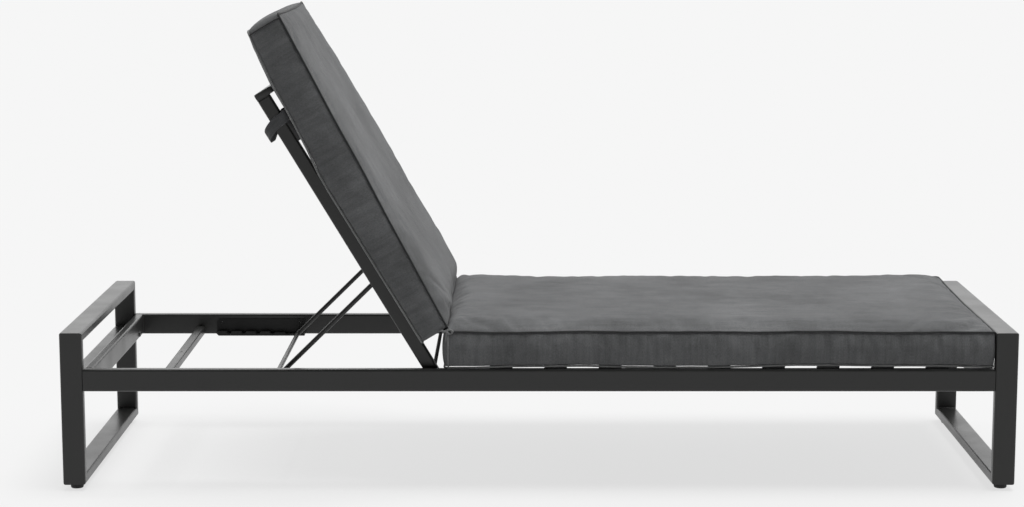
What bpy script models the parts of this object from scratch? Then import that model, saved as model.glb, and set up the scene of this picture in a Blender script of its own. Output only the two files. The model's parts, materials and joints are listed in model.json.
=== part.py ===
"""Reclining sun lounger: two welded end loops, a slatted centre frame, a slatted backrest
with a folding prop, and a two-part cushion. Metres, +Z up, head at -X, foot at +X.
The right-hand side of the lounger, for someone lying on it, is -Y."""
import bpy
import bmesh
from math import cos, pi, radians, sin
from mathutils import Matrix, Vector

# ---- overall sizes ----
LENGTH = 2.000
WIDTH = 0.680
FRAME_TOP = 0.337           # top of the end loops
FOOT_HEIGHT = 0.013         # the loops stand this far above the floor
GAP = 0.0003                # air left between pieces that touch

# ---- aluminium tube stock ----
PROFILE_WIDTH = 0.047       # the broad side of posts, rails, slats and loop bars
POST_DEPTH = 0.022          # the narrow side of posts and side rails
BAR_DEPTH = 0.020           # the narrow side of loop bars and cross rails
EDGE_RADIUS = 0.004
WALL = 0.0015

# ---- heights of the centre frame ----
RAIL_BOTTOM = 0.213
RAIL_TOP = RAIL_BOTTOM + PROFILE_WIDTH
MID_BAR_TOP = RAIL_BOTTOM + BAR_DEPTH
SLAT_HEIGHT = 0.010
DECK = RAIL_TOP + SLAT_HEIGHT

# ---- slats ----
SLAT_PITCH = 0.114
SEAT_SLATS = 9
FIRST_SEAT_SLAT = -0.079
SEAT_SLAT_HALF = 0.329
BACK_SLATS = 5
BACK_SLAT_HALF = 0.306

# ---- backrest, measured from its pivot, lying flat ----
PIVOT = Vector((-0.222, 0.0, RAIL_TOP - 0.014))
RECLINE = radians(59.0)     # the angle that the backrest stands at when it is most upright
BACK_LENGTH = 0.689
BACK_TUBE_DEPTH = 0.028
BACK_TUBE_INNER = 0.285
BACK_TUBE_OUTER = 0.308
TOP_BAR_LENGTH = 0.014
TOP_SLAT_FROM_END = 0.1035  # from the backrest's end to the middle of its top slat
AXLE_RADIUS = 0.004
AXLE_HALF = 0.329
RUNNING_FIT = 0.00025       # radial room around an axle or a pin

# ---- folding prop ----
PROP_ROD = 0.005            # radius of its round bar
PROP_PIVOT = 0.227          # from the backrest's pivot, along the tube
PROP_LENGTH = 0.3137
PROP_ANGLE = radians(44.4)  # slope of the prop when the backrest is most upright
PROP_ARM_Y = 0.270
PROP_BAR_HALF = 0.3115
EYE_RADIUS = 0.0085
EYE_HALF = 0.0038
PIN_RADIUS = 0.003

# ---- notched racks ----
RACK_FACE = 0.294           # inner face of the notched bar
RACK_PLATE = 0.003          # thickness of its back plate
RACK_ENDS = (-0.7575, -0.549)
RACK_PLATE_TOP = 0.250
NOTCH_FLOOR = 0.2155
NOTCH_RADIUS = 0.0056
NOTCH_PITCH = 0.034
FIRST_NOTCH = -0.591
NOTCHES = 5
TOOTH_TOPS = (0.2166, 0.2189, 0.2216, 0.2232, 0.2238)
RACK_END_TOP = 0.2215
RACK_STOP_TOP = 0.229

# ---- rest tube under the flat backrest ----
REST_TUBE_X = -0.796
REST_TUBE_WIDTH = 0.019
REST_TUBE_TOP = PIVOT.z - BACK_TUBE_DEPTH / 2 - GAP

# ---- feet and bolts ----
FOOT_RADIUS = 0.0135
FOOT_Y = 0.307
BOLT_Y = 0.262
BOLT_RADIUS = 0.004
BOLT_HEAD_RADIUS = 0.0068

# ---- cushions ----
SEAT_PAD_X = (-0.197, 0.951)
SEAT_PAD_HALF = 0.333
SEAT_PAD_THICKNESS = 0.075
BACK_PAD_HALF = 0.333
PAD_HINGE = PIVOT + 0.090 * Vector((cos(radians(60.5)), 0.0, sin(radians(60.5))))
# outline of the back pad: distance from the backrest's pivot along the tube, and height above it
BACK_PAD_OUTLINE = ((0.070, 0.0248), (0.585, 0.0252), (0.700, 0.0275), (0.790, 0.0370), (0.806, 0.0520),
                    (0.806, 0.1040), (0.796, 0.1190), (0.780, 0.1210), (0.444, 0.1060), (0.078, 0.0850),
                    (0.070, 0.0770))
STRAP_PLACE = 0.6225
STRAP_WIDTH = 0.025
STRAP_THICKNESS = 0.002
STRAP_SLACK = 0.018

HALF_LENGTH = LENGTH / 2
HALF_WIDTH = WIDTH / 2
RAIL_INNER = HALF_WIDTH - POST_DEPTH
LOOP_INNER = HALF_LENGTH - PROFILE_WIDTH
CROSS_INNER = LOOP_INNER - BAR_DEPTH
SIDES = (("right", -1), ("left", 1))
ENDS = (("head", -1), ("foot", 1))


def clear_scene():
    for thing in list(bpy.data.objects):
        bpy.data.objects.remove(thing, do_unlink=True)


def material(name, colour, roughness, metallic=0.0):
    made = bpy.data.materials.new(name)
    made.use_nodes = True
    shader = made.node_tree.nodes["Principled BSDF"]
    shader.inputs["Base Color"].default_value = (*colour, 1.0)
    shader.inputs["Roughness"].default_value = roughness
    shader.inputs["Metallic"].default_value = metallic
    made.diffuse_color = (*colour, 1.0)
    return made


def add_object(name, bm, paint, parent=None, smooth=True):
    """Close a bmesh into a named object with one material."""
    bmesh.ops.recalc_face_normals(bm, faces=bm.faces)
    mesh = bpy.data.meshes.new(name)
    bm.to_mesh(mesh)
    bm.free()
    mesh.materials.append(paint)
    if smooth:
        mesh.shade_smooth()
        mesh.set_sharp_from_angle(angle=radians(35))
    thing = bpy.data.objects.new(name, mesh)
    bpy.context.collection.objects.link(thing)
    thing.parent = parent
    return thing


def joint_empty(name, place, turn=0.0, parent=None):
    """An empty on a joint's axis. The pieces under it are modelled lying flat."""
    empty = bpy.data.objects.new(name, None)
    empty.empty_display_size = 0.05
    empty.location = place
    empty.rotation_euler = (0.0, turn, 0.0)
    empty.parent = parent
    bpy.context.collection.objects.link(empty)
    return empty


def rounded_rectangle(width, height, radius, steps=2):
    """Corner arcs of a rectangle round the origin, anticlockwise."""
    points = []
    for corner, (side, level) in enumerate(((1, 1), (-1, 1), (-1, -1), (1, -1))):
        for step in range(steps + 1):
            turn = pi / 2 * (corner + step / steps)
            points.append((side * (width / 2 - radius) + radius * cos(turn),
                           level * (height / 2 - radius) + radius * sin(turn)))
    return points


# the two section directions of a tube that runs along each axis
SECTION_AXES = {"x": ((0, 1, 0), (0, 0, 1)), "y": ((0, 0, 1), (1, 0, 0)), "z": ((1, 0, 0), (0, 1, 0))}
AXES = {"x": Vector((1, 0, 0)), "y": Vector((0, 1, 0)), "z": Vector((0, 0, 1))}


def tube(name, axis, centre, size, ends, paint, parent=None, radius=EDGE_RADIUS, wall=WALL):
    """A hollow tube, open at both ends. size is its section along SECTION_AXES; an end is a
    distance along the axis, or a function of the point that gives it, for a mitre."""
    across, up = (Vector(direction) for direction in SECTION_AXES[axis])
    centre = Vector(centre)
    bm = bmesh.new()
    rings = []
    for end in ends:
        for inset in (0.0, wall):
            section = rounded_rectangle(size[0] - 2 * inset, size[1] - 2 * inset, radius - inset)
            ring = []
            for along, upward in section:
                point = centre + across * along + up * upward
                distance = end(point) if callable(end) else end
                ring.append(bm.verts.new(point + AXES[axis] * distance))
            rings.append(ring)
    start, start_hole, finish, finish_hole = rings
    around = ((start, finish), (finish, finish_hole), (finish_hole, start_hole), (start_hole, start))
    for one, other in around:
        for i in range(len(one)):
            j = (i + 1) % len(one)
            bm.faces.new((one[i], one[j], other[j], other[i]))
    return add_object(name, bm, paint, parent)


def prism(name, outline, span, paint, parent=None):
    """An outline of (x, z) points drawn out along Y."""
    bm = bmesh.new()
    near = [bm.verts.new((x, span[0], z)) for x, z in outline]
    far = [bm.verts.new((x, span[1], z)) for x, z in outline]
    bm.faces.new(near)
    bm.faces.new(far[::-1])
    for i in range(len(outline)):
        j = (i + 1) % len(outline)
        bm.faces.new((near[i], far[i], far[j], near[j]))
    return add_object(name, bm, paint, parent)


def turned(name, rings, centre, axis, paint, parent=None, segments=24, bored=False):
    """A round piece: rings of (radius, distance along the axis). A bored one closes on itself."""
    across, up = (Vector(direction) for direction in SECTION_AXES[axis])
    centre = Vector(centre)
    bm = bmesh.new()
    loops = []
    for ring_radius, distance in rings:
        loop = []
        for i in range(segments):
            turn = 2 * pi * i / segments
            offset = across * cos(turn) + up * sin(turn)
            loop.append(bm.verts.new(centre + AXES[axis] * distance + offset * ring_radius))
        loops.append(loop)
    pairs = list(zip(loops, loops[1:]))
    if bored:
        pairs.append((loops[-1], loops[0]))
    for one, other in pairs:
        for i in range(segments):
            j = (i + 1) % segments
            bm.faces.new((one[i], one[j], other[j], other[i]))
    if not bored:
        bm.faces.new(loops[0][::-1])
        bm.faces.new(loops[-1])
    return add_object(name, bm, paint, parent)


def ring(name, bore, radius, span, centre, axis, paint, parent=None):
    rings = ((bore, span[0]), (radius, span[0]), (radius, span[1]), (bore, span[1]))
    return turned(name, rings, centre, axis, paint, parent, bored=True)


def boolean(thing, cutter, operation="DIFFERENCE"):
    """Cut or join one guide, which the build leaves out."""
    change = thing.modifiers.new(cutter.name, "BOOLEAN")
    change.operation = operation
    change.object = cutter
    cutter.hide_render = True
    cutter.display_type = "WIRE"


def drill(thing, name, radius, span, centre, axis, paint, parent=None):
    boolean(thing, turned(name, ((radius, span[0]), (radius, span[1])), centre, axis, paint, parent))


def round_edges(thing, radius, steps=2):
    change = thing.modifiers.new("rounded_edges", "BEVEL")
    change.width = radius
    change.segments = steps
    change.limit_method = "ANGLE"
    change.angle_limit = radians(50)
    change.use_clamp_overlap = True


def end_loops(paint, rubber):
    """Each end loop is two posts and a top and a bottom bar, mitred, with a bar between the posts."""
    bottom = FOOT_HEIGHT
    slope = BAR_DEPTH / POST_DEPTH
    post_y = HALF_WIDTH - POST_DEPTH / 2

    def post_top(point):
        return FRAME_TOP - (HALF_WIDTH - abs(point.y)) * slope - GAP

    def post_bottom(point):
        return bottom + (HALF_WIDTH - abs(point.y)) * slope + GAP

    for end, way in ENDS:
        x = way * (HALF_LENGTH - PROFILE_WIDTH / 2)
        for side, sign in SIDES:
            tube(f"{end}_post_{side}", "z", (x, sign * post_y, 0), (PROFILE_WIDTH, POST_DEPTH),
                 (post_bottom, post_top), paint)
        for level, z, corner in (("top", FRAME_TOP - BAR_DEPTH / 2, FRAME_TOP),
                                 ("bottom", bottom + BAR_DEPTH / 2, bottom)):
            def reach(point, corner=corner):
                return HALF_WIDTH - abs(point.z - corner) / slope - GAP
            tube(f"{end}_{level}_bar", "y", (x, 0, z), (BAR_DEPTH, PROFILE_WIDTH),
                 (lambda point, reach=reach: -reach(point), reach), paint)
        mid_bar = tube(f"{end}_mid_bar", "y", (x, 0, MID_BAR_TOP - BAR_DEPTH / 2),
                       (BAR_DEPTH, PROFILE_WIDTH), (-RAIL_INNER + GAP, RAIL_INNER - GAP), paint)
        cross_x = way * (LOOP_INNER - BAR_DEPTH / 2)
        cross_rail = tube(f"{end}_cross_rail", "y", (cross_x, 0, RAIL_TOP - PROFILE_WIDTH / 2),
                          (PROFILE_WIDTH, BAR_DEPTH - 2 * GAP), (-RAIL_INNER + GAP, RAIL_INNER - GAP), paint)
        for side, sign in SIDES:
            frame_bolt(f"{end}_bolt_{side}", way, sign * BOLT_Y, (mid_bar, cross_rail), paint)
            glide = ((FOOT_RADIUS - 0.0015, 0.0), (FOOT_RADIUS, 0.002), (FOOT_RADIUS, FOOT_HEIGHT - 0.002),
                     (FOOT_RADIUS - 0.001, FOOT_HEIGHT - GAP))
            turned(f"{end}_glide_{side}", glide, (x, sign * FOOT_Y, 0), "z", rubber)


def frame_bolt(name, way, y, drilled, paint):
    """A button-head bolt from inside the cross rail into the loop's middle bar."""
    z = MID_BAR_TOP - BAR_DEPTH / 2
    face = CROSS_INNER + GAP
    tip = LOOP_INNER + 0.012
    rings = [(BOLT_HEAD_RADIUS * 0.62, face - 0.0036), (BOLT_HEAD_RADIUS * 0.9, face - 0.0024),
             (BOLT_HEAD_RADIUS, face - 0.0008), (BOLT_HEAD_RADIUS, face - GAP), (BOLT_RADIUS, face - GAP),
             (BOLT_RADIUS, tip)]
    turned(name, [(size, way * distance) for size, distance in rings], (0, y, z), "x", paint)
    for number, piece in enumerate(drilled):
        hole = (way * (CROSS_INNER - 0.01), way * (LOOP_INNER + 0.02))
        drill(piece, f"{name}_hole_{number}", BOLT_RADIUS + RUNNING_FIT, hole, (0, y, z), "x", paint)


def centre_frame(paint, rack_paint, nylon):
    """Side rails, seat slats, the rest tube, the notched racks and the backrest's axle."""
    for side, sign in SIDES:
        centre = (0, sign * (HALF_WIDTH - POST_DEPTH / 2), RAIL_TOP - PROFILE_WIDTH / 2)
        rail = tube(f"side_rail_{side}", "x", centre, (POST_DEPTH, PROFILE_WIDTH),
                    (-LOOP_INNER + GAP, LOOP_INNER - GAP), paint)
        hole = (sign * (RAIL_INNER - 0.004), sign * (HALF_WIDTH - 2 * WALL))
        drill(rail, f"axle_hole_{side}", AXLE_RADIUS + RUNNING_FIT, hole, PIVOT, "y", paint)
        spacer = (sign * (BACK_TUBE_OUTER + GAP), sign * (RAIL_INNER - GAP))
        ring(f"pivot_spacer_{side}", AXLE_RADIUS + RUNNING_FIT, 0.0085, spacer, PIVOT, "y", nylon)
        notched_rack(side, sign, rack_paint)
    turned("pivot_axle", ((AXLE_RADIUS, -AXLE_HALF), (AXLE_RADIUS, AXLE_HALF)), PIVOT, "y", paint)
    for number in range(SEAT_SLATS):
        x = FIRST_SEAT_SLAT + number * SLAT_PITCH
        slat(f"seat_slat_{number + 1}", x, RAIL_TOP, SEAT_SLAT_HALF, paint)
    rest_height = REST_TUBE_TOP - RAIL_BOTTOM
    rest = tube("rest_tube", "y", (REST_TUBE_X, 0, RAIL_BOTTOM + rest_height / 2),
                (rest_height, REST_TUBE_WIDTH), (-RAIL_INNER + GAP, RAIL_INNER - GAP), paint, radius=0.003)
    drill(rest, "rest_tube_vent", 0.003, (RAIL_BOTTOM + 0.010, DECK), (REST_TUBE_X, 0, 0), "z", paint)


def slat(name, x, bottom, half, paint, parent=None):
    height = SLAT_HEIGHT - GAP
    tube(name, "y", (x, 0, bottom + GAP + height / 2), (height, PROFILE_WIDTH), (-half, half), paint, parent,
         radius=0.003, wall=0.0012)


def notched_rack(side, sign, paint):
    """A back plate on the rail's inner face with a notched bar along its foot. The teeth grow
    towards the head, under the path of the prop's crossbar."""
    left, right = RACK_ENDS
    plate_face = RAIL_INNER - GAP - RACK_PLATE
    corner = 0.006
    plate = [(left + corner, RAIL_BOTTOM), (right, RAIL_BOTTOM), (right, RACK_PLATE_TOP),
             (left + corner, RACK_PLATE_TOP), (left, RACK_PLATE_TOP - corner), (left, RAIL_BOTTOM + corner)]
    rack = prism(f"notch_rack_{side}", plate, (sign * plate_face, sign * (RAIL_INNER - GAP)), paint)
    stop = PIVOT.x - PROP_PIVOT * cos(RECLINE) - PROP_LENGTH * cos(PROP_ANGLE)
    notches = [stop] + [FIRST_NOTCH - number * NOTCH_PITCH for number in range(NOTCHES)]
    outline = [(left + corner, RAIL_BOTTOM), (right, RAIL_BOTTOM), (right, RACK_STOP_TOP)]
    outline += [(stop + NOTCH_RADIUS + 0.0015, RACK_STOP_TOP)]
    tops = (RACK_STOP_TOP,) + TOOTH_TOPS + (RACK_END_TOP,)
    for number, x in enumerate(notches):
        for turn in range(0, 181, 30):
            height = NOTCH_FLOOR + NOTCH_RADIUS * (1 - sin(radians(turn)))
            limit = tops[number] if turn < 90 else tops[number + 1]
            outline.append((x + NOTCH_RADIUS * cos(radians(turn)), min(height, limit)))
    outline += [(left + corner, RACK_END_TOP), (left, RACK_END_TOP - 0.002), (left, RAIL_BOTTOM + corner)]
    bar_span = (sign * RACK_FACE, sign * (plate_face + RACK_PLATE / 2))
    bar = prism(f"notched_bar_{side}", outline, bar_span, paint)
    boolean(rack, bar, "UNION")


def backrest(axis, paint):
    """Two side tubes with rounded lower ends, a top bar and five slats. x runs from the pivot, so
    the backrest's end is at -BACK_LENGTH."""
    half = BACK_TUBE_DEPTH / 2
    end = BACK_LENGTH - TOP_BAR_LENGTH - GAP
    outline = [(half * cos(radians(turn)), half * sin(radians(turn))) for turn in range(90, -91, -15)]
    outline += [(-end, -half), (-end, half)]
    for side, sign in SIDES:
        span = (sign * BACK_TUBE_INNER, sign * BACK_TUBE_OUTER)
        leg = prism(f"backrest_tube_{side}", outline, span, paint, axis)
        round_edges(leg, 0.003)
        middle = (BACK_TUBE_INNER + BACK_TUBE_OUTER) / 2
        room = (BACK_TUBE_OUTER - BACK_TUBE_INNER) / 2 - WALL
        solid_end, open_end = -0.025, -end - 0.01
        hollow = [(solid_end, WALL - half), (solid_end, half - WALL), (open_end, half - WALL),
                  (open_end, WALL - half)]
        width = (sign * (middle - room), sign * (middle + room))
        boolean(leg, prism(f"backrest_hollow_{side}", hollow, width, paint, axis))
        bore = (sign * (BACK_TUBE_INNER - 0.01), sign * (BACK_TUBE_OUTER + 0.01))
        drill(leg, f"backrest_bore_{side}", AXLE_RADIUS + RUNNING_FIT, bore, (0, 0, 0), "y", paint, axis)
    top_height = BACK_TUBE_DEPTH + SLAT_HEIGHT
    tube("backrest_top_bar", "y", (-BACK_LENGTH + TOP_BAR_LENGTH / 2, 0, top_height / 2 - half),
         (top_height, TOP_BAR_LENGTH), (-BACK_TUBE_OUTER, BACK_TUBE_OUTER), paint, axis, radius=0.003)
    for number in range(BACK_SLATS):
        x = -BACK_LENGTH + TOP_SLAT_FROM_END + number * SLAT_PITCH
        slat(f"backrest_slat_{number + 1}", x, half, BACK_SLAT_HALF, paint, axis)


def prop(axis, backrest_axis, paint):
    """A crossbar with two arms. Each arm ends in an eye on a shouldered pin in the backrest tube."""
    ends = ((PROP_ROD, -PROP_BAR_HALF), (PROP_ROD, PROP_BAR_HALF))
    turned("prop_crossbar", ends, (-PROP_LENGTH, 0, 0), "y", paint, axis)
    for side, sign in SIDES:
        place = (0, sign * PROP_ARM_Y, 0)
        rod = [(PROP_ROD, -distance) for distance in (EYE_RADIUS - 0.0015, PROP_LENGTH - PROP_ROD - GAP)]
        arm = turned(f"prop_arm_{side}", rod, place, "x", paint, axis)
        bore = PIN_RADIUS + RUNNING_FIT
        eye = ring(f"prop_eye_{side}", bore, EYE_RADIUS, (-EYE_HALF, EYE_HALF), place, "y", paint, axis)
        boolean(arm, eye, "UNION")
        inside = PROP_ARM_Y - EYE_HALF - RUNNING_FIT
        outside = PROP_ARM_Y + EYE_HALF + RUNNING_FIT
        pin = ((0.0052, inside - 0.0026), (0.0062, inside - 0.0014), (0.0062, inside), (PIN_RADIUS, inside),
               (PIN_RADIUS, outside), (0.0062, outside), (0.0062, BACK_TUBE_INNER - GAP))
        rings = [(size, sign * distance) for size, distance in pin]
        turned(f"prop_pin_{side}", rings, (-PROP_PIVOT, 0, 0), "y", paint, backrest_axis)


def soft_box(name, x, half, z, fabric, radius=0.016):
    bm = bmesh.new()
    bmesh.ops.create_cube(bm, size=1.0)
    size = Vector((x[1] - x[0], 2 * half, z[1] - z[0]))
    middle = Vector(((x[0] + x[1]) / 2, 0.0, (z[0] + z[1]) / 2))
    stretch = Matrix.Translation(middle) @ Matrix.Diagonal(size).to_4x4()
    bmesh.ops.transform(bm, matrix=stretch, verts=bm.verts)
    round_edges(add_object(name, bm, fabric), radius, 3)


def cushions(pad_axis, backrest_axis, fabric, webbing):
    bottom = DECK + GAP
    soft_box("seat_cushion", SEAT_PAD_X, SEAT_PAD_HALF, (bottom, bottom + SEAT_PAD_THICKNESS), fabric)
    # the pad is drawn about its own hinge, turned flat like the backrest
    flat = Matrix.Rotation(-RECLINE, 3, "Y") @ (PIVOT - PAD_HINGE)
    outline = [(flat.x - along, flat.z + height) for along, height in BACK_PAD_OUTLINE]
    pad = prism("back_cushion", outline, (-BACK_PAD_HALF, BACK_PAD_HALF), fabric, pad_axis)
    round_edges(pad, 0.010, 2)
    for side, sign in SIDES:
        strap(f"strap_{side}", sign, webbing, backrest_axis)


def strap(name, sign, webbing, axis):
    """A webbing loop round a backrest tube, slack behind it."""
    middle = (BACK_TUBE_INNER + BACK_TUBE_OUTER) / 2
    width = BACK_TUBE_OUTER - BACK_TUBE_INNER + 0.003
    front = BACK_TUBE_DEPTH / 2 + 0.0015
    back = BACK_TUBE_DEPTH / 2 + STRAP_SLACK
    height = front + back
    tube(name, "x", (0, sign * middle, (front - back) / 2),
         (width + 2 * STRAP_THICKNESS, height + 2 * STRAP_THICKNESS),
         (-STRAP_PLACE - STRAP_WIDTH / 2, -STRAP_PLACE + STRAP_WIDTH / 2), webbing, axis,
         radius=0.008, wall=STRAP_THICKNESS)


def build():
    clear_scene()
    paint = material("powder_coat", (0.024, 0.0245, 0.024), 0.38)
    rack_paint = material("black_coating", (0.014, 0.014, 0.014), 0.5)
    rubber = material("black_rubber", (0.012, 0.012, 0.012), 0.7)
    nylon = material("black_nylon", (0.015, 0.015, 0.016), 0.5)
    fabric = material("grey_canvas", (0.125, 0.130, 0.138), 0.9)
    webbing = material("grey_webbing", (0.085, 0.088, 0.092), 0.85)
    backrest_axis = joint_empty("backrest_axis", PIVOT, RECLINE)
    prop_axis = joint_empty("prop_axis", (-PROP_PIVOT, 0, 0), -PROP_ANGLE - RECLINE, backrest_axis)
    pad_axis = joint_empty("pad_axis", PAD_HINGE, RECLINE)
    end_loops(paint, rubber)
    centre_frame(paint, rack_paint, nylon)
    backrest(backrest_axis, paint)
    prop(prop_axis, backrest_axis, paint)
    cushions(pad_axis, backrest_axis, fabric, webbing)


build()
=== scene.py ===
"""Looks of a reclining sun lounger: powder-coated tubes with their welds, plugs and screws, two
stuffed canvas pads with piping, and webbing straps. Metres, +Z up, head at -X, foot at +X."""
import json
from math import cos, hypot, pi, radians, sin

import bmesh
import bpy
import numpy as np
from mathutils import Matrix, Vector, noise


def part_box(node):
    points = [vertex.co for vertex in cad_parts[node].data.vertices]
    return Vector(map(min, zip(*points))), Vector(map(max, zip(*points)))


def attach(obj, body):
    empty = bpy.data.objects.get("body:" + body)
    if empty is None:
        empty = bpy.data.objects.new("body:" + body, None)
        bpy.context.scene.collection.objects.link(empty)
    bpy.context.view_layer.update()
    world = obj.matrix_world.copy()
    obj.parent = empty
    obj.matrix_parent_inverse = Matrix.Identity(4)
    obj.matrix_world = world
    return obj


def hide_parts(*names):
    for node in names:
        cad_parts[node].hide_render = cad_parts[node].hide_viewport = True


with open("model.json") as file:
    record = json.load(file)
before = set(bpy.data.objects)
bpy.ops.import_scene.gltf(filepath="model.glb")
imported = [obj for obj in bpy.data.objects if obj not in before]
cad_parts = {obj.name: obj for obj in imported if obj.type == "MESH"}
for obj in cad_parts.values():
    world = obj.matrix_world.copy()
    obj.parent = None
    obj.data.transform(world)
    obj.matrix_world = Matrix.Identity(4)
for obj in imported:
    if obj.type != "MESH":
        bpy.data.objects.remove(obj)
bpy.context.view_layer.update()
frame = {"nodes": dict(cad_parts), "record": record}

JOINTS = {joint["name"]: joint for joint in frame["record"]["behaviour"]["joints"]}
SLOTS = {part["node"]: part["material_slot"] for part in frame["record"]["subparts"]}
SIDES = (("right", -1), ("left", 1))
ENDS = (("head", -1), ("foot", 1))

# ---- where the frame's pieces are ----
PIVOT = Vector(JOINTS["backrest_recline"]["pos_m"])
RECLINE = radians(JOINTS["backrest_recline"]["range_deg"][1])
UP_BACK = Vector((-cos(RECLINE), 0.0, sin(RECLINE)))    # from the pivot along the raised backrest
OFF_BACK = Vector((sin(RECLINE), 0.0, cos(RECLINE)))    # from the backrest's slats out to the pad
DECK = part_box("seat_slat_1")[1].z
RAIL_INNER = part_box("rest_tube")[1].y
RAIL_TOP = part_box("side_rail_left")[1].z

# ---- seat pad ----
SEAT_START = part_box("seat_cushion")[0].x
SEAT_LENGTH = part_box("seat_cushion")[1].x - SEAT_START
PAD_HALF = 0.3315           # to the seams, which the stuffing stands proud of
SEAT_SEAMS = (-0.0045, 0.0680)  # heights of the two seams above the deck
SEAT_HEM = ((0.0, -0.0035), (0.06, -0.0030), (0.13, 0.0008), (0.30, 0.0), (0.45, -0.0024), (0.56, -0.0024),
            (0.70, 0.0022), (1.00, 0.0022), (1.10, 0.0), (1.20, -0.0015))  # the lower seam's rise by length
SEAT_SHELF = 0.0012         # the under panel lies this far above the deck
SEAT_CROWN = 0.0115         # the upper panel stands this far above its seam
HEAD_LIFT, HEAD_REACH = 0.0085, 0.16    # and this much more towards the head end
FAR_FOOT_LIFT, FAR_FOOT_REACH = 0.0095, 0.22    # the far corner at the foot lies higher
SIDE_BULGE, HEAD_BULGE, FOOT_BULGE = 0.0045, 0.0045, 0.0040
CORNER = 0.008              # the pads' corners, seen from above
CELL = 0.009                # size of the pads' mesh cells
PANEL_RISE = 0.045          # an upper panel reaches its height this far in from its seams
UNDER_RISE = 0.018          # and an under panel this far in
BILLOW = 0.0030             # height of the upper panels' broad, low waves
LOOSENESS = 0.024           # how much wider the cloth is cut than the pad
SWELLING_FRAMES = 20

# ---- back pad, measured along the backrest from its pivot and out from its middle line ----
BACK_START, BACK_END = 0.071, 0.807
BACK_UNDER = ((0.071, 0.0262), (0.600, 0.0262), (0.690, 0.0275), (0.750, 0.0345), (0.807, 0.0450))
BACK_HEM = ((0.071, 0.0168), (0.440, 0.0168), (0.480, 0.0178), (0.540, 0.0250), (0.600, 0.0295),
            (0.700, 0.0355), (0.807, 0.0480))
BACK_FRONT = ((0.071, 0.0790), (0.444, 0.0990), (0.807, 0.1203))
BACK_CROWN = ((0.071, 0.0215), (0.150, 0.0160), (0.300, 0.0070), (0.500, 0.0030), (0.700, 0.0),
              (0.807, 0.0020))
BACK_BAND = 0.075           # the side band's width
BACK_RESTS = 0.70           # length of the pad that lies on slats
BACK_TWIST = -0.014         # the far top corner leans towards the slats
BACK_BULGE, LOW_END_BULGE = 0.0040, -0.0015
TOP_END_BULGE = (0.0045, 0.0080)    # at the corners, and what the middle adds

# ---- trimmings ----
PIPING = 0.0023             # radius
STRAP_WIDTH = 0.025
STRAP_THICKNESS = 0.0016
STRAP_FRONT, STRAP_SLACK = 0.0243, -0.0350  # its front and back, out from the tube's middle line
# a strap's middle line along the backrest, by half turns from the tube's outer side over the front
STRAP_COURSE = ((0.0, 0.6185), (0.50, 0.6240), (0.93, 0.6240), (1.25, 0.5990), (1.50, 0.5990),
                (2.0, 0.6185))
STRAP_MAP_STEP = 0.0024     # how far the weave runs on from one cross-section to the next
WELD = 0.0016               # radius
WELD_STOP = 0.002           # a weld ends this far before a corner
HALF_SLAT = 0.0228          # from a backrest slat's middle to the welds along it
BACK_TUBE_FACE = 0.0140     # the backrest tubes' front, out from their middle line
TOP_BAR_JOINT = 0.6748      # where the tubes end under the top bar
TOP_BAR_MIDDLE = (0.6820, 0.0050)
KNOT = 0.0058               # radius of the tied loop at each corner where the pads meet
ACROSS = Vector((0, 1, 0))


# ---------------------------------------------------------------- shader nodes

def wire(tree, source, target):
    tree.links.new(source, target)


def math_node(tree, operation, first, second=None):
    """A Math node fed by sockets or numbers."""
    made = tree.nodes.new("ShaderNodeMath")
    made.operation = operation
    for slot, value in zip(made.inputs, (first, second)):
        if isinstance(value, (int, float)):
            slot.default_value = value
        elif value is not None:
            wire(tree, value, slot)
    return made.outputs[0]


def spread_node(tree, value, low, high, source=(0.3, 0.7)):
    """Map Range from the source's span to low and high, which may be sockets."""
    made = tree.nodes.new("ShaderNodeMapRange")
    wire(tree, value, made.inputs["Value"])
    made.inputs["From Min"].default_value, made.inputs["From Max"].default_value = source
    for label, end in (("To Min", low), ("To Max", high)):
        if isinstance(end, (int, float)):
            made.inputs[label].default_value = end
        else:
            wire(tree, end, made.inputs[label])
    return made.outputs[0]


def noise_node(tree, vector, scale, detail=3.0, roughness=0.55):
    made = tree.nodes.new("ShaderNodeTexNoise")
    wire(tree, vector, made.inputs["Vector"])
    made.inputs["Detail"].default_value = detail
    made.inputs["Roughness"].default_value = roughness
    if isinstance(scale, (int, float)):
        made.inputs["Scale"].default_value = scale
    else:
        wire(tree, scale, made.inputs["Scale"])
    return made.outputs["Fac"]


def stretched(tree, vector, scale):
    made = tree.nodes.new("ShaderNodeMapping")
    made.inputs["Scale"].default_value = scale
    wire(tree, vector, made.inputs["Vector"])
    return made.outputs["Vector"]


def lit(tree, colour, amount):
    """Multiply a colour by a value."""
    made = tree.nodes.new("ShaderNodeVectorMath")
    made.operation = "SCALE"
    wire(tree, colour, made.inputs[0])
    wire(tree, amount, made.inputs["Scale"])
    return made.outputs["Vector"]


def effect(name, inputs, outputs):
    """An empty shader group with named sockets."""
    tree = bpy.data.node_groups.new(name, "ShaderNodeTree")
    for label, kind, value in inputs:
        socket = tree.interface.new_socket(label, in_out="INPUT", socket_type=kind)
        if value is not None:
            socket.default_value = value
    for label, kind in outputs:
        tree.interface.new_socket(label, in_out="OUTPUT", socket_type=kind)
    return tree, tree.nodes.new("NodeGroupInput").outputs, tree.nodes.new("NodeGroupOutput").inputs


FLOAT, COLOUR, VECTOR = "NodeSocketFloat", "NodeSocketColor", "NodeSocketVector"


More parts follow.
